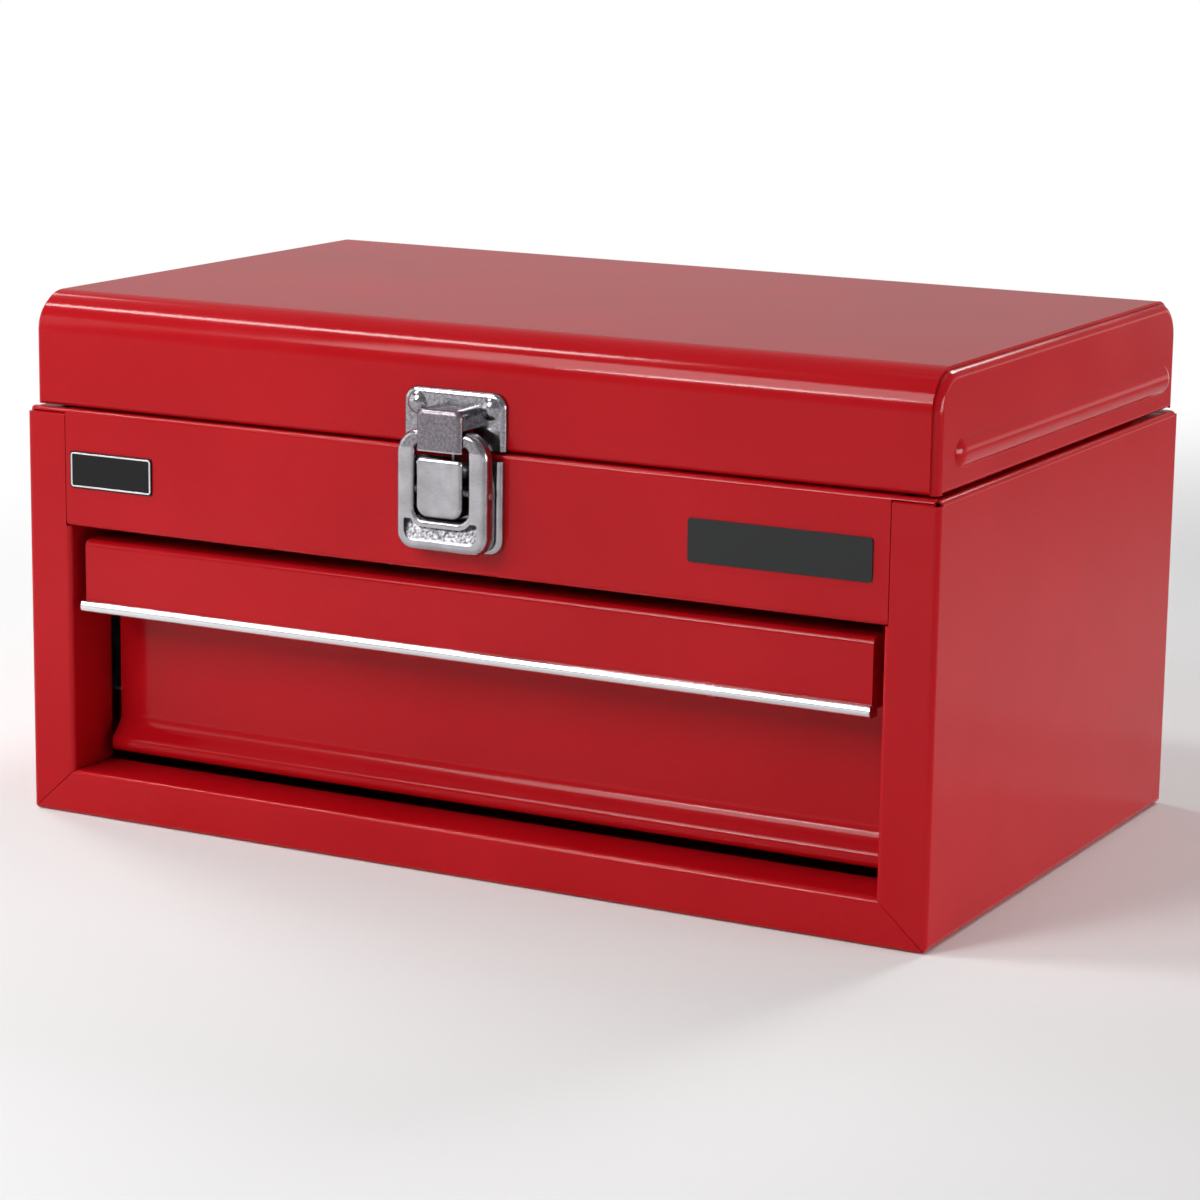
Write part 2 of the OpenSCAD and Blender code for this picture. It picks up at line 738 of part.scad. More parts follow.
module latch_keeper() {
    round_r = 3;
    hood_z1 = lid_z0 + hood_h;
    side_z0 = lever_z1 + 0.7;
    hood_cut = lever_y - 0.3;             // the hood's sides end in front of the lever
    depth = lid_front_y - hood_y;
    color(steel) difference() {
        union() {
            on_front(lid_front_y, keeper_z0) difference() {
                dish(latch_w, keeper_h, [0, plate_r, plate_r, 0], plate_depth, plate_rim, latch_t);
                translate([0, lid_z0 - keeper_z0, -1]) linear_extrude(plate_depth + 2)
                    plate_outline(hood_w - 2 * latch_t, hood_h - latch_t, [0, 2, 2, 0]);
            }
            // drawn hood: closed above, cut away at its sides for the lever
            intersection() {
                on_front(lid_front_y, lid_z0)
                    dish(hood_w, hood_h, [0, round_r, round_r, 0], depth, 2, latch_t);
                union() {
                    block(-hood_w, hood_w, hood_y - 1, keeper_y, side_z0, hood_z1);
                    block(-hood_w, hood_w, hood_y - 1, hood_cut, lid_z0, hood_z1);
                    block(-hood_w, hood_w, keeper_y - 6, keeper_y + latch_t, side_z0, hood_z1);
                }
            }
            // lip that turns in under the lever's top bar
            block(-hood_w / 2 + 2, hood_w / 2 - 2, hood_y, hood_y + latch_t + hood_lip,
                  lid_z0, lid_z0 + latch_t);
        }
        for (s = [-1, 1]) rod_y(keeper_y - 1, lid_front_y + 1, s * keeper_rivet_x,
                                keeper_rivet_z, shank_r + touch);
    }
}

module keeper_rivets() {
    color(steel) for (s = [-1, 1])
        front_rivet(s * keeper_rivet_x, keeper_rivet_z, keeper_y, lid_front_y + t, rivet_r);
}

module latch_base() {
    color(steel) difference() {
        union() {
            translate([0, 0, base_z1]) mirror([0, 0, 1])
                on_front(front_y, 0)
                    dish(latch_w, latch_base_h, [0, plate_r, plate_r, 0], plate_depth,
                         plate_rim, latch_t);
            both_sides() {
                block(ear_x - latch_t, ear_x, latch_pin_y, base_y + latch_t / 2,
                      latch_pin_z - ear_r - 1, latch_pin_z + ear_r + 1);
                rod_x(ear_x - latch_t, ear_x, latch_pin_y, latch_pin_z, ear_r);
            }
        }
        rod_x(-latch_w, latch_w, latch_pin_y, latch_pin_z, latch_pin_d / 2 + pin_fit);
        both_sides() difference() {
            block(ear_x - latch_t - 0.1, ear_x + 0.1, latch_pin_y - ear_r, latch_pin_y,
                  latch_pin_z - ear_r - 2, latch_pin_z + ear_r + 2);
            rod_x(ear_x - 2, ear_x + 1, latch_pin_y, latch_pin_z, ear_r);
        }
        for (p = base_rivets_at) rod_y(base_y - 1, front_y + 1, p[0], p[1], shank_r + touch);
    }
}

module latch_cover() {
    h = cover_z1 - cover_z0;
    depth = base_y - cover_y;
    color(steel) difference() {
        on_front(base_y, cover_z0)
            dish(hood_w, h, [4, 1.5, 1.5, 4], depth, 1.4, latch_t, true);
        // open at the top behind the rim, where the spring's arm comes out
        block(-hood_w / 2 + latch_t + 1, hood_w / 2 - latch_t - 1, cover_y + 1.6, base_y + 1,
              cover_z1 - 3, cover_z1 + 1);
        rod_x(-latch_w, latch_w, latch_pin_y, latch_pin_z, latch_pin_d / 2 + pin_fit);
    }
}

module latch_pin() {
    color(steel) rod_x(-lever_w / 2 - 0.3, lever_w / 2 + 0.3, latch_pin_y, latch_pin_z,
                       latch_pin_d / 2);
}

module base_rivets() {
    color(steel) for (p = base_rivets_at)
        front_rivet(p[0], p[1], base_y, front_y + t, small_rivet_r);
}

// Torsion spring: an arm up behind the lever's top bar, a coil on the pin and
// an arm down onto the base plate
spring_x = -coil_turns * coil_pitch / 2;
spring_steps = 10;
spring_arm_z = window_z1 + 1.5 - latch_pin_z;
function coil_point(k) =
    let (a = 360 * k / spring_steps)
    [spring_x + coil_pitch * k / spring_steps, coil_r * cos(a), coil_r * sin(a)];
spring_path = concat(
    [[spring_x, coil_r + 0.5, -4.6], [spring_x, coil_r, -2.5]],
    [for (k = [0:coil_turns * spring_steps - spring_steps / 2]) coil_point(k)],
    [[-spring_x - coil_pitch / 2, -coil_r, 3],
     [-spring_x - coil_pitch / 2, -coil_r + 1.1, 10],
     [-spring_x - coil_pitch / 2, -coil_r + 1.1, spring_arm_z]]);

// Tube of radius r with n sides along the points p
module swept_tube(p, r, n) {
    last = len(p) - 1;
    ring = [for (i = [0:last])
        let (d = heading(p[max(i - 1, 0)], p[min(i + 1, last)]),
             u0 = cross(d, abs(d[0]) > 0.9 ? [0, 0, 1] : [1, 0, 0]),
             u = u0 / norm(u0),
             v = cross(d, u))
        [for (k = [0:n - 1]) p[i] + r * (cos(360 * k / n) * u + sin(360 * k / n) * v)]];
    points = [for (a = ring) each a];
    sides = [for (i = [0:last - 1], k = [0:n - 1])
        let (a = i * n + k, b = i * n + (k + 1) % n)
        each [[a, b, b + n], [a, b + n, a + n]]];
    caps = [[for (k = [n - 1:-1:0]) k], [for (k = [0:n - 1]) last * n + k]];
    polyhedron(points, concat(sides, caps), convexity = 6);
}

module latch_spring() {
    color(zinc) translate([0, latch_pin_y, latch_pin_z]) swept_tube(spring_path, wire_r, 6);
}

// The lever's face, its skirts and the turned-in edges of its window
module lever_frame() {
    window_h = window_z1 - window_z0;
    outer_r = [for (r = window_r) r + window_rim];
    face = lever_skirt - latch_t / 2;
    on_front(lever_y + lever_skirt, lever_z0) {
        carried_round(lever_w, lever_h, lever_r, true)
            dish_edge(lever_skirt, lever_rim, latch_t);
        translate([0, 0, lever_skirt - latch_t]) linear_extrude(latch_t) difference() {
            plate_outline(lever_w, lever_h, lever_r, lever_rim);
            translate([0, window_z0 - window_rim - lever_z0])
                plate_outline(window_w + 2 * window_rim, window_h + 2 * window_rim, outer_r);
            scoop_outline(latch_t);
        }
        translate([0, window_z0 - lever_z0, 0])
            carried_round(window_w, window_h, window_r, true)
                folded([[-window_rim - window_lap, face], [-latch_t / 2, face],
                        [-latch_t / 2, lever_skirt - window_skirt]], [0, 0.9, 0], latch_t);
    }
}

// Outline of the finger scoop below the window, on the lever's face
module scoop_outline(inset) {
    rim = window_rim + inset;
    difference() {
        translate([0, scoop_in])
            plate_outline(lever_w - 2 * scoop_in, scoop_z1 - lever_z0 - scoop_in,
                          [4.5, 1.5, 1.5, 4.5], inset);
        translate([0, window_z0 - lever_z0 - rim])
            plate_outline(window_w + 2 * rim, lever_h, [for (r = window_r) r + rim]);
    }
}

// The scoop: a floor that slopes out to the lever's lower lip, and its walls
module lever_scoop() {
    f = lever_y + latch_t / 2;
    z_low = lever_z0 + scoop_in;
    slope = [[f + scoop_depth, scoop_z1 + 1], [f + scoop_depth, scoop_z1 - 1.2],
             [f, z_low + 0.6], [f, z_low - 1]];
    intersection() {
        along_x(-lever_w / 2, lever_w / 2) folded(slope, [0, 1.6, 1, 0], latch_t);
        on_front(lever_y + lever_skirt, lever_z0) linear_extrude(lever_skirt) scoop_outline(0);
    }
    intersection() {
        on_front(lever_y + lever_skirt, lever_z0) linear_extrude(lever_skirt) difference() {
            scoop_outline(0);
            scoop_outline(latch_t);
        }
        along_x(-lever_w / 2, lever_w / 2)
            polygon([[lever_y, scoop_z1 + 1], slope[0], slope[1], slope[2], slope[3],
                     [lever_y, z_low - 1]]);
    }
}

// What the skirts give up above the pin, so that the top can rock inwards
module lever_relief() {
    y_low = lever_y + lever_skirt - 0.1;
    y_high = latch_pin_y + 0.5;
    z_low = latch_pin_z + 2.6;
    z_high = base_z1 - 1.5;
    along_x(-lever_w, lever_w)
        polygon([[y_low, z_low], [y_high, z_high], [y_high, lever_z1 + 1],
                 [front_y, lever_z1 + 1], [front_y, z_low]]);
}

module latch_lever() {
    color(steel) difference() {
        union() {
            lever_frame();
            lever_scoop();
        }
        lever_relief();
        rod_x(-latch_w, latch_w, latch_pin_y, latch_pin_z, latch_pin_d / 2 + pin_fit);
    }
}

// ---- drawer ---------------------------------------------------------------

module drawer_body() {
    x = drawer_x - t / 2;
    z0 = drawer_z0 + t / 2;
    z1 = drawer_z0 + drawer_h - t / 2;
    y0 = drawer_y0 + t / 2;
    y1 = drawer_y1 - t / 2;
    hem = 5;
    sides = [[-x + hem, z1], [-x, z1], [-x, z0], [x, z0], [x, z1], [x - hem, z1]];
    ends = [[y0 + hem, z1 - 1.5 * t], [y0, z1 - 1.5 * t], [y0, z0], [y1, z0], [y1, z1 - 1.5 * t],
            [y1 - hem, z1 - 1.5 * t]];
    color(red) difference() {
        union() {
            along_y(drawer_y0 + 2 * bend_r, drawer_y1 - 2 * bend_r)
                folded(sides, [0, bend_r, bend_r, bend_r, bend_r, 0]);
            along_x(-drawer_x + t, drawer_x - t)
                folded(ends, [0, bend_r, bend_r, bend_r, bend_r, 0]);
        }
        both_sides() screw_holes(-drawer_x - 1, -drawer_x + 2 * t, inner_rivet_y);
    }
}

// Folded front: top flange, upper band, finger recess, lower face and its
// flared, rolled lower edge
module front_section() {
    y_band = band_y + t / 2;
    y_face = face_y + t / 2;
    z_top = front_top - t / 2;
    z_low = band_low + trim_h / 2 + t / 2;
    z_foot = front_low + t / 2;
    nose_r = 3;                           // round the flare's nose and out of the recess
    sweep_r = 8;                          // the long bend into the flare
    fold = [[y_face - 2, z_top], [y_band, z_top], [y_band, z_low], [y_face, z_low],
            [y_face, front_low + flare_top], [y_face - flare, front_low + flare_low],
            [y_face - flare, z_foot], [y_face + 4, z_foot]];
    folded(fold, [0, 2, bend_r, nose_r, sweep_r, nose_r, 2.3, 0]);
}

module drawer_front() {
    plate = [[band_y + t / 2, band_low + trim_h / 2 + t / 2], [face_y - t, front_top - t / 2]];
    color(red) {
        along_x(-front_x, front_x) front_section();
        both_sides() block(front_x - t, front_x, plate[0][0], plate[1][0], plate[0][1],
                           plate[1][1]);
    }
}

module drawer_trim() {
    r = trim_h / 2;
    x = front_x + 0.4;
    lip = 3.5;
    z_under = band_low + trim_h / 2 - touch;
    color([0.80, 0.81, 0.83]) along_x(-x, x) difference() {
        union() {
            translate([band_y - band_inset + r, band_low + r]) circle(r);
            translate([band_y - band_inset + r, band_low]) square([band_inset - r + lip, trim_h]);
        }
        translate([band_y - touch, z_under]) square([lip + 2, trim_h]);
    }
}

module drawer_rivets() {
    x = drawer_x - t;
    color(steel) both_sides() for (y = inner_rivet_y)
        side_rivet(x, x + t + slide_t, y, slide_z, flat_head);
}

// ---- ball-bearing slides (left side) --------------------------------------

// Section of a member in X-Z: a web at x_web whose edges are curled round the
// two rows of balls; hand = 1 curls over the rows, -1 curls under them
module member_section(x_web, hand) {
    reach = curl_r * tan(curl_sweep / 2);
    z = ball_z + hand * curl_r;
    x = -ball_x + hand * reach;
    tip = [x + hand * (reach + seam_min) * cos(curl_sweep),
           z - hand * (reach + seam_min) * sin(curl_sweep)];
    translate([0, slide_z])
        folded([tip, [x, z], [x_web, z], [x_web, -z], [x, -z], [tip[0], -tip[1]]],
               [0, curl_r, web_bend, web_bend, curl_r, 0], slide_t);
}

module screw_holes(x0, x1, ys) {
    for (y = ys) rod_x(x0, x1, y, slide_z, shank_r + touch);
}

rivet_end = 12;                           // outer rivets, from the slides' ends
outer_rivet_y = [slide_y0 + rivet_end, slide_y0 + slide_l - rivet_end];
inner_rivet_y = [slide_y0 + 2 * rivet_end, slide_y0 + slide_l - 2 * rivet_end];

module slide_outer() {
    difference() {
        along_y(slide_y0, slide_y0 + slide_l) member_section(-slide_x + slide_t / 2, 1);
        screw_holes(-slide_x - 1, -slide_x + 3, outer_rivet_y);
    }
}

module slide_inner() {
    difference() {
        along_y(slide_y0, slide_y0 + slide_l) member_section(-drawer_x - slide_t / 2, -1);
        screw_holes(-drawer_x - 3, -drawer_x + 1, inner_rivet_y);
    }
}

module ball_cage() {
    x = -slide_x + slide_t + cage_off;
    x_tab = -ball_x + cage_tab;
    rows = [slide_z - ball_z, slide_z + ball_z];
    first = cage_y - (balls_per_row - 1) * ball_pitch / 2;
    difference() {
        along_y(cage_y - cage_l / 2, cage_y + cage_l / 2)
            folded([[x_tab, rows[0]], [x, rows[0]], [x, rows[1]], [x_tab, rows[1]]],
                   [0, 0.5, 0.5, 0], cage_t);
        for (z = rows, i = [0:balls_per_row - 1])
            translate([-ball_x, first + i * ball_pitch, z - 1])
                cylinder(h = 2, r = ball_r + ball_fit / 2);
    }
    for (z = rows, i = [0:balls_per_row - 1])
        translate([-ball_x, first + i * ball_pitch, z]) sphere(ball_r);
}

// Stand-off between the side wall and the outer member
module slide_bracket() {
    wall = -side_x + t + touch + t / 2;
    rail = -slide_x - t / 2;
    y0 = front_y + return_d + 10;
    y1 = slide_y0 + slide_l - 1;
    tab = 9;
    half = 13;
    difference() {
        along_z(slide_z - half, slide_z + half)
            folded([[wall, y0 - tab], [wall, y0], [rail, y0], [rail, y1], [wall, y1],
                    [wall, y1 + tab]], [0, bend_r, bend_r, bend_r, bend_r, 0]);
        screw_holes(-slide_x - 3, -slide_x + 1, outer_rivet_y);
    }
}

module slide_rivets() {
    color(steel) both_sides() for (y = outer_rivet_y)
        side_rivet(-slide_x - t, -slide_x + slide_t, y, slide_z, flat_head);
}

module slide_outer_left() {
    color(steel) slide_outer();
}

module slide_outer_right() {
    color(steel) mirror([1, 0, 0]) slide_outer();
}

module slide_inner_left() {
    color(steel) slide_inner();
}

module slide_inner_right() {
    color(steel) mirror([1, 0, 0]) slide_inner();
}

module ball_cage_left() {
    color(zinc) ball_cage();
}

module ball_cage_right() {
    color(zinc) mirror([1, 0, 0]) ball_cage();
}

module slide_bracket_left() {
    color(red) slide_bracket();
}

module slide_bracket_right() {
    color(red) mirror([1, 0, 0]) slide_bracket();
}

// ---- output ---------------------------------------------------------------

body_shell();
back_panel();
front_rail();
shelf();
badge_left();
badge_right();
slide_bracket_left();
slide_bracket_right();
slide_outer_left();
slide_outer_right();
slide_rivets();
hinge_leaf_body();
hinge_pin();
latch_base();
latch_cover();
latch_pin();
latch_spring();
base_rivets();
lid_shell();
lid_end_left();
lid_end_right();
hinge_leaf_lid();
latch_keeper();
keeper_rivets();
latch_lever();
drawer_body();
drawer_front();
drawer_trim();
slide_inner_left();
slide_inner_right();
drawer_rivets();
ball_cage_left();
ball_cage_right();
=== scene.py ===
"""Looks of the portable tool box: enamel, plated metal and badges around the fixed frame.

Metres, in the frame's own axes: +X right, -Y out of the drawer front, +Z up.
"""

import json
import math

import bpy
from mathutils import Matrix, Vector


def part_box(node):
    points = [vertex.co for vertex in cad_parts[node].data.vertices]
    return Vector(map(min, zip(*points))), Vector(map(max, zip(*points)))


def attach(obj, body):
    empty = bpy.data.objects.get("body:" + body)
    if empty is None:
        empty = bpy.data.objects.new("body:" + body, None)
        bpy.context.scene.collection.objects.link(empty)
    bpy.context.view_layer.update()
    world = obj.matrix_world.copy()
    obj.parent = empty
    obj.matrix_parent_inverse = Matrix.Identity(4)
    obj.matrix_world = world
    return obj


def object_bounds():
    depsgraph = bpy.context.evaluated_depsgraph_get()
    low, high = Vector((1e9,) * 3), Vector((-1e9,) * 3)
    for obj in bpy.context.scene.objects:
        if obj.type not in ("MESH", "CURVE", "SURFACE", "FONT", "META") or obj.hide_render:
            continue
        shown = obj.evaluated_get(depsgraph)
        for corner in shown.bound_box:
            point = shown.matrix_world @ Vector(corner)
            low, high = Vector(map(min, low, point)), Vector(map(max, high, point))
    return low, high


MM = 0.001

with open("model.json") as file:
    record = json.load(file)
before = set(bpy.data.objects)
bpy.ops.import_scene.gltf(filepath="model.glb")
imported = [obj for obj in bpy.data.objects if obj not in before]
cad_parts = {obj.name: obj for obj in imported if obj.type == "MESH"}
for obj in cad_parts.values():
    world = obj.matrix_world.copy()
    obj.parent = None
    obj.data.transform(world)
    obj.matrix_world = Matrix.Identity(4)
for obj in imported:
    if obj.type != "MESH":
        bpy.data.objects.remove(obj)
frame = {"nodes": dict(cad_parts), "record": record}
NODES = frame["nodes"]
CAD_LOW, CAD_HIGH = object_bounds()
CENTRE = (Vector(CAD_LOW) + Vector(CAD_HIGH)) / 2
SLOT_OF = {part["node"]: part["material_slot"] for part in frame["record"]["subparts"]}


# ---- camera ---------------------------------------------------------------

CAMERA_AT = Vector((0.62268, -1.17332, 0.35860))
CAMERA_YAW = math.radians(-28.05)  # turned to the left of straight ahead
CAMERA_DIP = math.radians(11.94)
CAMERA_ROLL = math.radians(0.803)
CAMERA_LENS = 111.08  # mm, on a sensor of the width below
SENSOR_WIDTH = 36
NEAREST_SEEN = 0.05


def make_camera():
    """The photograph's view: from the right of the front, a little above the lid."""
    level_ahead = Vector((math.sin(CAMERA_YAW), math.cos(CAMERA_YAW), 0))
    down = Vector((0, 0, -1))
    ahead = level_ahead * math.cos(CAMERA_DIP) + down * math.sin(CAMERA_DIP)
    level = Vector((math.cos(CAMERA_YAW), -math.sin(CAMERA_YAW), 0))
    upright = level.cross(ahead)
    right = level * math.cos(CAMERA_ROLL) + upright * math.sin(CAMERA_ROLL)
    up = upright * math.cos(CAMERA_ROLL) - level * math.sin(CAMERA_ROLL)
    data = bpy.data.cameras.new("camera")
    data.lens = CAMERA_LENS
    data.sensor_width = SENSOR_WIDTH
    data.clip_start = NEAREST_SEEN
    camera = bpy.data.objects.new("camera", data)
    bpy.context.scene.collection.objects.link(camera)
    turn = Matrix((right, up, -ahead)).transposed().to_4x4()
    camera.matrix_world = Matrix.Translation(CAMERA_AT) @ turn
    bpy.context.scene.camera = camera


# ---- shader helpers -------------------------------------------------------


def remap(tree, value, start, end, low, high, curve="SMOOTHSTEP"):
    """The value mapped from start..end to low..high, and held beyond both ends."""
    span = tree.nodes.new("ShaderNodeMapRange")
    span.interpolation_type = curve
    span.inputs["From Min"].default_value = start
    span.inputs["From Max"].default_value = end
    span.inputs["To Min"].default_value = low
    span.inputs["To Max"].default_value = high
    tree.links.new(value, span.inputs["Value"])
    return span.outputs["Result"]


def combine(tree, operation, first, second):
    """Two values made into one, such as their product or the larger one."""
    node = tree.nodes.new("ShaderNodeMath")
    node.operation = operation
    tree.links.new(first, node.inputs[0])
    tree.links.new(second, node.inputs[1])
    return node.outputs[0]


def mix_shaders(tree, share, first, second, output):
    """Sends the output the first shader, and the second where the share is 1."""
    mix = tree.nodes.new("ShaderNodeMixShader")
    tree.links.new(share, mix.inputs[0])
    tree.links.new(first.outputs[0], mix.inputs[1])
    tree.links.new(second.outputs[0], mix.inputs[2])
    tree.links.new(mix.outputs[0], output.inputs["Surface"])


def seen_rays(tree):
    """1 for what the camera, gloss and glass see, 0 for the light that is sent on."""
    rays = tree.nodes.new("ShaderNodeLightPath").outputs
    total = rays["Is Camera Ray"]
    for kind in ("Is Glossy Ray", "Is Transmission Ray"):
        total = combine(tree, "MAXIMUM", total, rays[kind])
    return total


# ---- light and floor ------------------------------------------------------

FILL_GREY = 0.14  # what the world sends on as plain fill
BACKDROP_GREY = 0.36  # what is seen above the white horizon
WHITE_UP_TO = 0.01  # sine of the angle above the horizon
GREY_FROM = 0.07
FLOOR_GREY = 0.80
FLOOR_SIZE = 12.0
BACK_LEFT = (-0.8, 0.6, 0)  # a direction over the floor
WHITE_BACK_LEFT = (0.20, 0.75)  # metres that way over which the floor turns white
PALE_MIDDLE = (0.30, 0.45, 0)  # a place on the floor, behind the box and to its right
WHITE_FAR_OFF = (1.0, 1.8)  # metres from there over which it does so all round


def softbox(name, at, size, radiance, towards, spread=180):
    """A rectangular lamp of that radiance, where 1 renders as white."""
    data = bpy.data.lights.new(name, "AREA")
    data.shape = "RECTANGLE"
    data.size, data.size_y = size
    data.energy = radiance * math.pi * size[0] * size[1]
    data.spread = math.radians(spread)
    lamp = bpy.data.objects.new(name, data)
    bpy.context.scene.collection.objects.link(lamp)
    lamp.location = at
    lamp.rotation_euler = (Vector(towards) - Vector(at)).to_track_quat("-Z", "Y").to_euler()
    lamp.visible_camera = False


def make_light():
    """Key lamps on the left of the front, and weaker ones all round."""
    lid_front = Vector((0, CAD_LOW[1], CAD_HIGH[2]))
    beside_lid = Vector((-0.60, 0, CAD_HIGH[2]))
    # each lamp: where it stands, width and height, radiance, what it faces, beam in degrees
    softbox("key_left", (-0.50, -1.15, 0.95), (0.6, 0.5), 8.4, lid_front)
    softbox("strip_left", (-0.50, -1.28, 0.68), (0.24, 0.07), 56.0, lid_front)
    softbox("key_top", (-0.72, -0.40, 1.18), (0.50, 0.12), 30.0, beside_lid)
    softbox("fill_left", (-1.00, -0.55, 0.45), (0.9, 0.6), 1.6, CENTRE)
    softbox("fill_left_back", (-1.42, 0.52, 1.05), (0.5, 0.8), 7.0, CENTRE)
    softbox("fill_right", (1.55, 0.10, 0.26), (0.9, 0.4), 2.0, CENTRE, spread=70)
    softbox("fill_back", (0.30, 1.30, 1.05), (0.6, 0.5), 1.1, CENTRE, spread=50)
    softbox("overhead", (0.10, 0.20, 1.60), (0.9, 0.9), 0.6, CENTRE)


def make_world():
    """White near the horizon and grey above where it is seen, and a plain grey fill."""
    world = bpy.data.worlds.new("studio")
    world.use_nodes = True
    bpy.context.scene.world = world
    tree = world.node_tree
    tree.nodes.clear()
    out = tree.nodes.new("ShaderNodeOutputWorld")
    fill = tree.nodes.new("ShaderNodeBackground")
    fill.inputs["Color"].default_value = (FILL_GREY, FILL_GREY, FILL_GREY, 1)
    place = tree.nodes.new("ShaderNodeTexCoord")
    height = tree.nodes.new("ShaderNodeSeparateXYZ")
    tree.links.new(place.outputs["Generated"], height.inputs[0])
    grey = remap(tree, height.outputs["Z"], WHITE_UP_TO, GREY_FROM, 1, BACKDROP_GREY)
    seen = tree.nodes.new("ShaderNodeBackground")
    tree.links.new(grey, seen.inputs["Color"])
    mix_shaders(tree, seen_rays(tree), fill, seen, out)


def floor_material():
    """Pale grey under the object, and white where the camera and gloss see it farther off."""
    material = bpy.data.materials.new("pale_floor")
    material.use_nodes = True
    tree = material.node_tree
    tree.nodes.clear()
    out = tree.nodes.new("ShaderNodeOutputMaterial")
    plain = tree.nodes.new("ShaderNodeBsdfDiffuse")
    plain.inputs["Color"].default_value = (FLOOR_GREY, FLOOR_GREY, FLOOR_GREY, 1)
    white = tree.nodes.new("ShaderNodeEmission")
    place = tree.nodes.new("ShaderNodeTexCoord")
    fades = []
    for operation, vector, span in (
        ("DOT_PRODUCT", BACK_LEFT, WHITE_BACK_LEFT),
        ("DISTANCE", PALE_MIDDLE, WHITE_FAR_OFF),
    ):
        distance = tree.nodes.new("ShaderNodeVectorMath")
        distance.operation = operation
        distance.inputs[1].default_value = vector
        tree.links.new(place.outputs["Object"], distance.inputs[0])
        fades.append(remap(tree, distance.outputs["Value"], *span, 0, 1))
    fade = combine(tree, "MAXIMUM", *fades)
    share = combine(tree, "MULTIPLY", fade, seen_rays(tree))
    mix_shaders(tree, share, plain, white, out)
    return material


def make_floor():
    """A level floor that keeps the object's shadow."""
    half = FLOOR_SIZE / 2
    z = CAD_LOW[2]
    corners = [(-half, -half, z), (half, -half, z), (half, half, z), (-half, half, z)]
    mesh = bpy.data.meshes.new("floor")
    mesh.from_pydata(corners, [], [(0, 1, 2, 3)])
    floor = bpy.data.objects.new("floor", mesh)
    bpy.context.scene.collection.objects.link(floor)
    floor.data.materials.append(floor_material())


# ---- materials ------------------------------------------------------------

NOISE_RANGE = (0.3, 0.7)  # where most values of the noise lie
SOFT_EDGE = 0.4 * MM  # width over which one finish passes into another


class Surface:
    """A Principled material whose detail comes from noise in the object's own space."""

    def __init__(self, name, colour, metallic=0.0, specular=0.5):
        self.material = bpy.data.materials.new(name)
        self.material.use_nodes = True
        self.tree = self.material.node_tree
        self.shader = self.tree.nodes["Principled BSDF"]
        self.shader.inputs["Base Color"].default_value = (*colour, 1)
        self.shader.inputs["Metallic"].default_value = metallic
        self.shader.inputs["Specular IOR Level"].default_value = specular
        self.place = self.tree.nodes.new("ShaderNodeTexCoord").outputs["Object"]

    def link(self, source, socket):
        self.tree.links.new(source, self.shader.inputs[socket])

    def noise(self, size, detail=2.0, stretch=(1, 1, 1)):
        """Noise whose grains are about size metres, longer where stretch is above 1."""
        mapping = self.tree.nodes.new("ShaderNodeMapping")
        mapping.inputs["Scale"].default_value = [1 / s for s in stretch]
        grain = self.tree.nodes.new("ShaderNodeTexNoise")
        grain.inputs["Scale"].default_value = 1 / size
        grain.inputs["Detail"].default_value = detail
        self.tree.links.new(self.place, mapping.inputs["Vector"])
        self.tree.links.new(mapping.outputs["Vector"], grain.inputs["Vector"])
        return grain.outputs["Fac"]

    def spread(self, value, low, high):
        """The noise value mapped from its usual range to low..high."""
        return remap(self.tree, value, *NOISE_RANGE, low, high, curve="LINEAR")

    def shade(self, value, dark, light):
        """A colour between two shades, by the noise value."""
        mix = self.tree.nodes.new("ShaderNodeMix")
        mix.data_type = "RGBA"
        mix.inputs["A"].default_value = (*dark, 1)
        mix.inputs["B"].default_value = (*light, 1)
        self.tree.links.new(self.spread(value, 0, 1), mix.inputs["Factor"])
        return mix.outputs["Result"]

    def tint(self, value, dark, light):
        self.link(self.shade(value, dark, light), "Base Color")

    def roughness(self, value, low, high):
        self.link(self.spread(value, low, high), "Roughness")

    def bump(self, value, height):
        """Adds relief of that height in metres on top of the relief so far."""
        relief = self.tree.nodes.new("ShaderNodeBump")
        relief.inputs["Strength"].default_value = 1
        relief.inputs["Distance"].default_value = height
        self.tree.links.new(value, relief.inputs["Height"])
        normal = self.shader.inputs["Normal"]
        if normal.is_linked:
            self.tree.links.new(normal.links[0].from_socket, relief.inputs["Normal"])
        self.link(relief.outputs["Normal"], "Normal")

    def times(self, first, second):
        return combine(self.tree, "MULTIPLY", first, second)

    def ramp(self, axis, start, end):
        """0 to 1 from start to end in metres along an axis of the object."""
        split = self.tree.nodes.new("ShaderNodeSeparateXYZ")
        self.tree.links.new(self.place, split.inputs[0])
        return remap(self.tree, split.outputs[axis], start, end, 0, 1)

    def within(self, axis, low, high):
        """1 from low to high along an axis of the object, and 0 outside it."""
        start = self.ramp(axis, low - SOFT_EDGE, low)
        return self.times(start, self.ramp(axis, high + SOFT_EDGE, high))

    def over(self, socket, mask, result):
        """Where the mask is 1, the socket gets the result in place of what it had."""
        mix = self.tree.nodes.new("ShaderNodeMix")
        mix.data_type = "RGBA" if socket == "Base Color" else "FLOAT"
        factor, first, second = [slot for slot in mix.inputs if slot.enabled]
        self.tree.links.new(mask, factor)
        self.tree.links.new(self.shader.inputs[socket].links[0].from_socket, first)
        self.tree.links.new(result, second)
        self.link(next(slot for slot in mix.outputs if slot.enabled), socket)


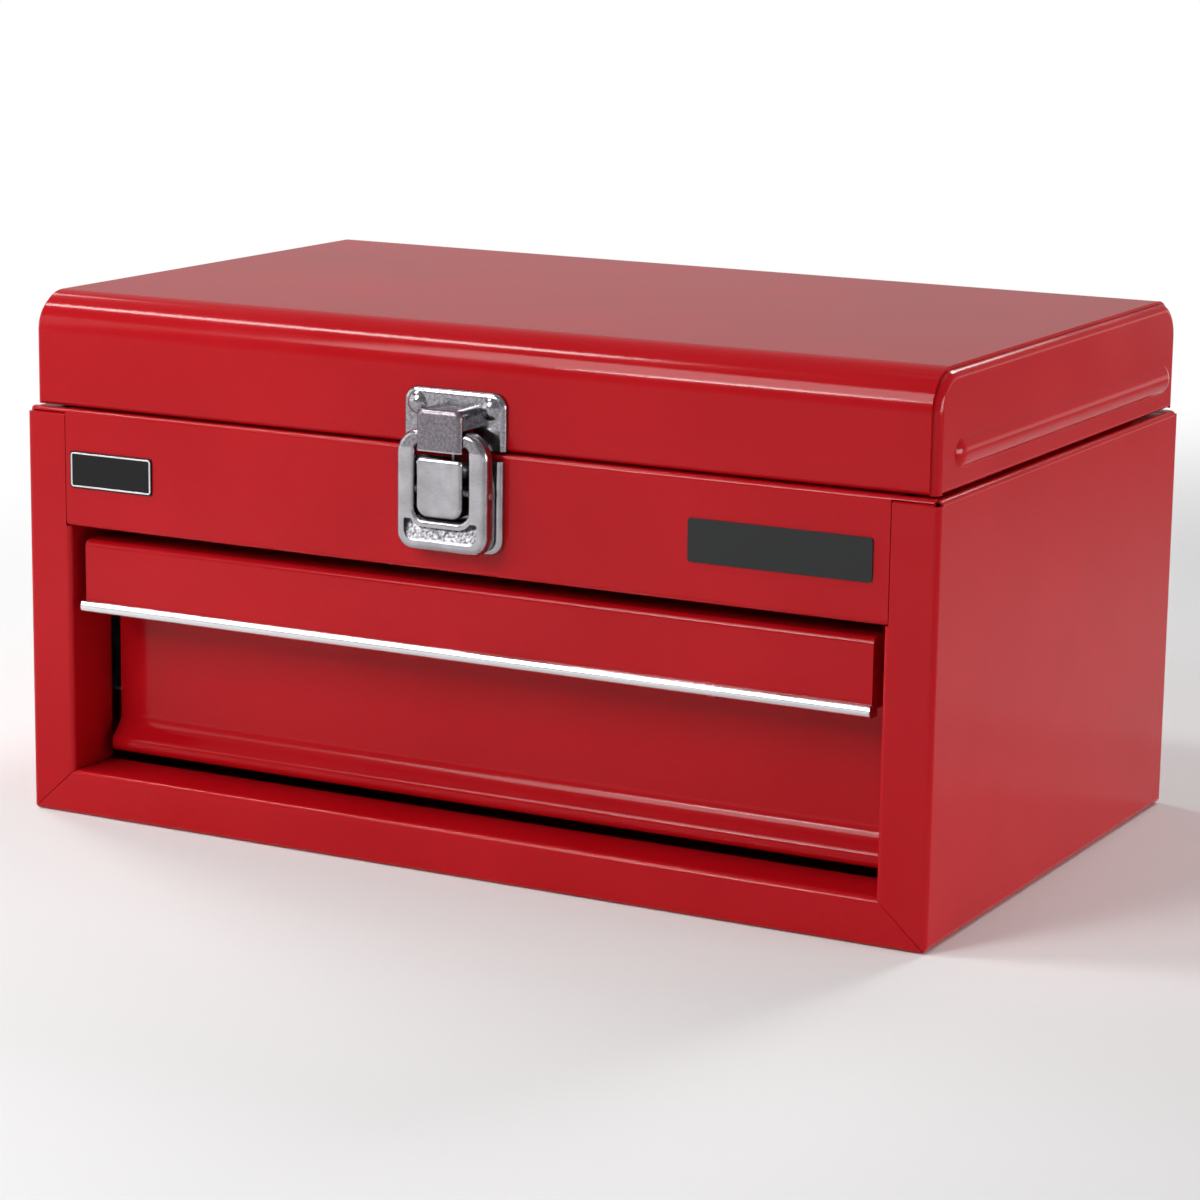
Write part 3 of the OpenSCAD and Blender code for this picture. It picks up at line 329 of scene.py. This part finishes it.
def red_enamel():
    paint = Surface("red_enamel", (0.44, 0.004, 0.008), specular=0.17)
    cloud = paint.noise(60 * MM, detail=3)
    peel = paint.noise(2.2 * MM, detail=1)
    grain = paint.noise(0.5 * MM, detail=1)
    paint.tint(cloud, (0.42, 0.003, 0.007), (0.46, 0.005, 0.010))
    paint.roughness(cloud, 0.10, 0.16)
    paint.bump(peel, 0.010 * MM)
    paint.bump(grain, 0.0012 * MM)
    return paint.material


def lid_side_mask(plate):
    """1 on the plate that rides on the lid, from just above its lower edge."""
    lower_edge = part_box("latch_keeper")[0].z
    return plate.ramp("Z", lower_edge + 0.2 * MM, lower_edge + 0.8 * MM)


def hood_mask(plate, lid_side):
    """1 on the part of that plate in front of the lever's face, which is its hood."""
    lever_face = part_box("latch_lever")[0].y
    in_front = plate.ramp("Y", lever_face + SOFT_EDGE, lever_face - SOFT_EDGE)
    return plate.times(lid_side, in_front)


def scoop_mask(plate):
    """1 in the lever's finger scoop, inside its rim and below the raised cover."""
    low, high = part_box("latch_lever")
    rim = 2.4 * MM
    rim_depth = 0.5 * MM
    scoop_depth = 3.1 * MM
    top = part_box("latch_cover")[0].z - SOFT_EDGE
    across = plate.within("X", low.x + rim, high.x - rim)
    deep = plate.within("Y", low.y + rim_depth, low.y + scoop_depth)
    return plate.times(plate.times(across, deep), plate.within("Z", low.z + rim, top))


def latch_plate():
    """Bright plate, duller on the hood and coarse in the lever's finger scoop, with painted
    shade in its colour on the lid side, the hood and the scoop.
    """
    plate = Surface("latch_plate", (0.5, 0.5, 0.5), metallic=1)
    cloud = plate.noise(7 * MM, detail=3)
    cast = plate.noise(0.9 * MM, detail=3)
    grain = plate.noise(0.25 * MM, detail=1)
    plate.tint(cloud, (0.34, 0.325, 0.345), (0.47, 0.455, 0.48))
    plate.roughness(cloud, 0.14, 0.24)
    lid_side = lid_side_mask(plate)
    hood = hood_mask(plate, lid_side)
    scoop = scoop_mask(plate)
    # Painted shade: the lid side and the hood get darker base colours that stand in for the
    # darker reflections they show, and the scoop's dark speckle is partly coarse cast grain
    # and partly painted shade that damps the lamp's reflection there.
    for mask, dark, light in (
        (lid_side, (0.20, 0.19, 0.21), (0.40, 0.39, 0.41)),
        (hood, (0.13, 0.115, 0.13), (0.26, 0.24, 0.26)),
        (scoop, (0.05, 0.05, 0.055), (0.44, 0.43, 0.46)),
    ):
        plate.over("Base Color", mask, plate.shade(cast, dark, light))
    plate.over("Roughness", hood, plate.spread(cloud, 0.26, 0.36))
    plate.over("Roughness", scoop, plate.spread(cast, 0.60, 0.42))
    plate.bump(cast, 0.020 * MM)
    plate.bump(grain, 0.004 * MM)
    plate.bump(plate.times(cast, scoop), 0.06 * MM)
    return plate.material


def slide_steel():
    steel = Surface("slide_steel", (0.62, 0.63, 0.65), metallic=1)
    rolled = steel.noise(0.5 * MM, detail=2, stretch=(1, 60, 1))
    spangle = steel.noise(9 * MM, detail=2)
    steel.tint(spangle, (0.56, 0.57, 0.58), (0.68, 0.69, 0.71))
    steel.roughness(spangle, 0.26, 0.38)
    steel.bump(rolled, 0.004 * MM)
    return steel.material


def zinc_plate():
    zinc = Surface("zinc_plate", (0.60, 0.61, 0.60), metallic=1)
    cloud = zinc.noise(5 * MM, detail=3)
    grain = zinc.noise(0.4 * MM, detail=2)
    zinc.tint(cloud, (0.52, 0.53, 0.53), (0.66, 0.67, 0.66))
    zinc.roughness(cloud, 0.30, 0.44)
    zinc.bump(grain, 0.004 * MM)
    return zinc.material


def trim_aluminium():
    trim = Surface("trim_aluminium", (0.88, 0.88, 0.90), metallic=1)
    drawn = trim.noise(0.12 * MM, detail=2, stretch=(240, 1, 1))
    cloud = trim.noise(30 * MM, detail=2)
    trim.tint(cloud, (0.72, 0.72, 0.74), (0.78, 0.78, 0.80))
    trim.roughness(cloud, 0.20, 0.28)
    trim.bump(drawn, 0.002 * MM)
    return trim.material


def badge_finish(name, colour):
    badge = Surface(name, colour, specular=0.2)
    grain = badge.noise(0.35 * MM, detail=2)
    cloud = badge.noise(12 * MM, detail=2)
    badge.roughness(cloud, 0.30, 0.42)
    badge.bump(grain, 0.002 * MM)
    return badge.material


def finish_nodes():
    finishes = {
        "red_paint": red_enamel(),
        "latch_chrome": latch_plate(),
        "slide_steel": slide_steel(),
        "zinc_plate": zinc_plate(),
        "trim_aluminium": trim_aluminium(),
        "badge_black": badge_finish("badge_black", (0.006, 0.006, 0.007)),
        "badge_grey": badge_finish("badge_grey", (0.024, 0.025, 0.026)),
    }
    for name, node in NODES.items():
        node.data.materials.clear()
        node.data.materials.append(finishes[SLOT_OF[name]])
    return finishes


# ---- pieces ---------------------------------------------------------------


def round_rectangle(width, height, radius, per_corner=8):
    """Points round a rectangle with round corners, anticlockwise, centred on the origin."""
    points = []
    for quarter, (sx, sz) in enumerate([(1, 1), (-1, 1), (-1, -1), (1, -1)]):
        for step in range(per_corner + 1):
            a = math.radians(90 * quarter + 90 * step / per_corner)
            x = sx * (width / 2 - radius) + radius * math.cos(a)
            z = sz * (height / 2 - radius) + radius * math.sin(a)
            points.append((x, z))
    return points


def badge_border(finish):
    """The bright raised line just inside the edge of the left badge."""
    low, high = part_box("badge_left")
    middle = (low + high) / 2
    inset = 0.35 * MM
    corner = 1.1 * MM
    line = 0.6 * MM
    rise = 0.12 * MM
    bevel = 0.08 * MM
    width = high.x - low.x - 2 * inset
    height = high.z - low.z - 2 * inset
    rings = [(0, 0), (bevel, rise), (line - bevel, rise), (line, 0)]
    vertices, faces = [], []
    for inward, proud in rings:
        for x, z in round_rectangle(width - 2 * inward, height - 2 * inward, corner - inward):
            vertices.append((middle.x + x, low.y - proud, middle.z + z))
    count = len(vertices) // len(rings)
    for ring in range(len(rings)):
        here = ring * count
        there = (ring + 1) % len(rings) * count
        for i in range(count):
            j = (i + 1) % count
            faces.append((here + i, here + j, there + j, there + i))
    mesh = bpy.data.meshes.new("badge_left_border")
    mesh.from_pydata(vertices, [], faces)
    mesh.update()
    border = bpy.data.objects.new("badge_left_border", mesh)
    bpy.context.scene.collection.objects.link(border)
    border.data.materials.append(finish)
    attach(border, "carcass")


# ---- scene ----------------------------------------------------------------

make_camera()
make_light()
make_world()
make_floor()
finishes = finish_nodes()
badge_border(finishes["trim_aluminium"])
bpy.context.scene.view_settings.view_transform = "Standard"
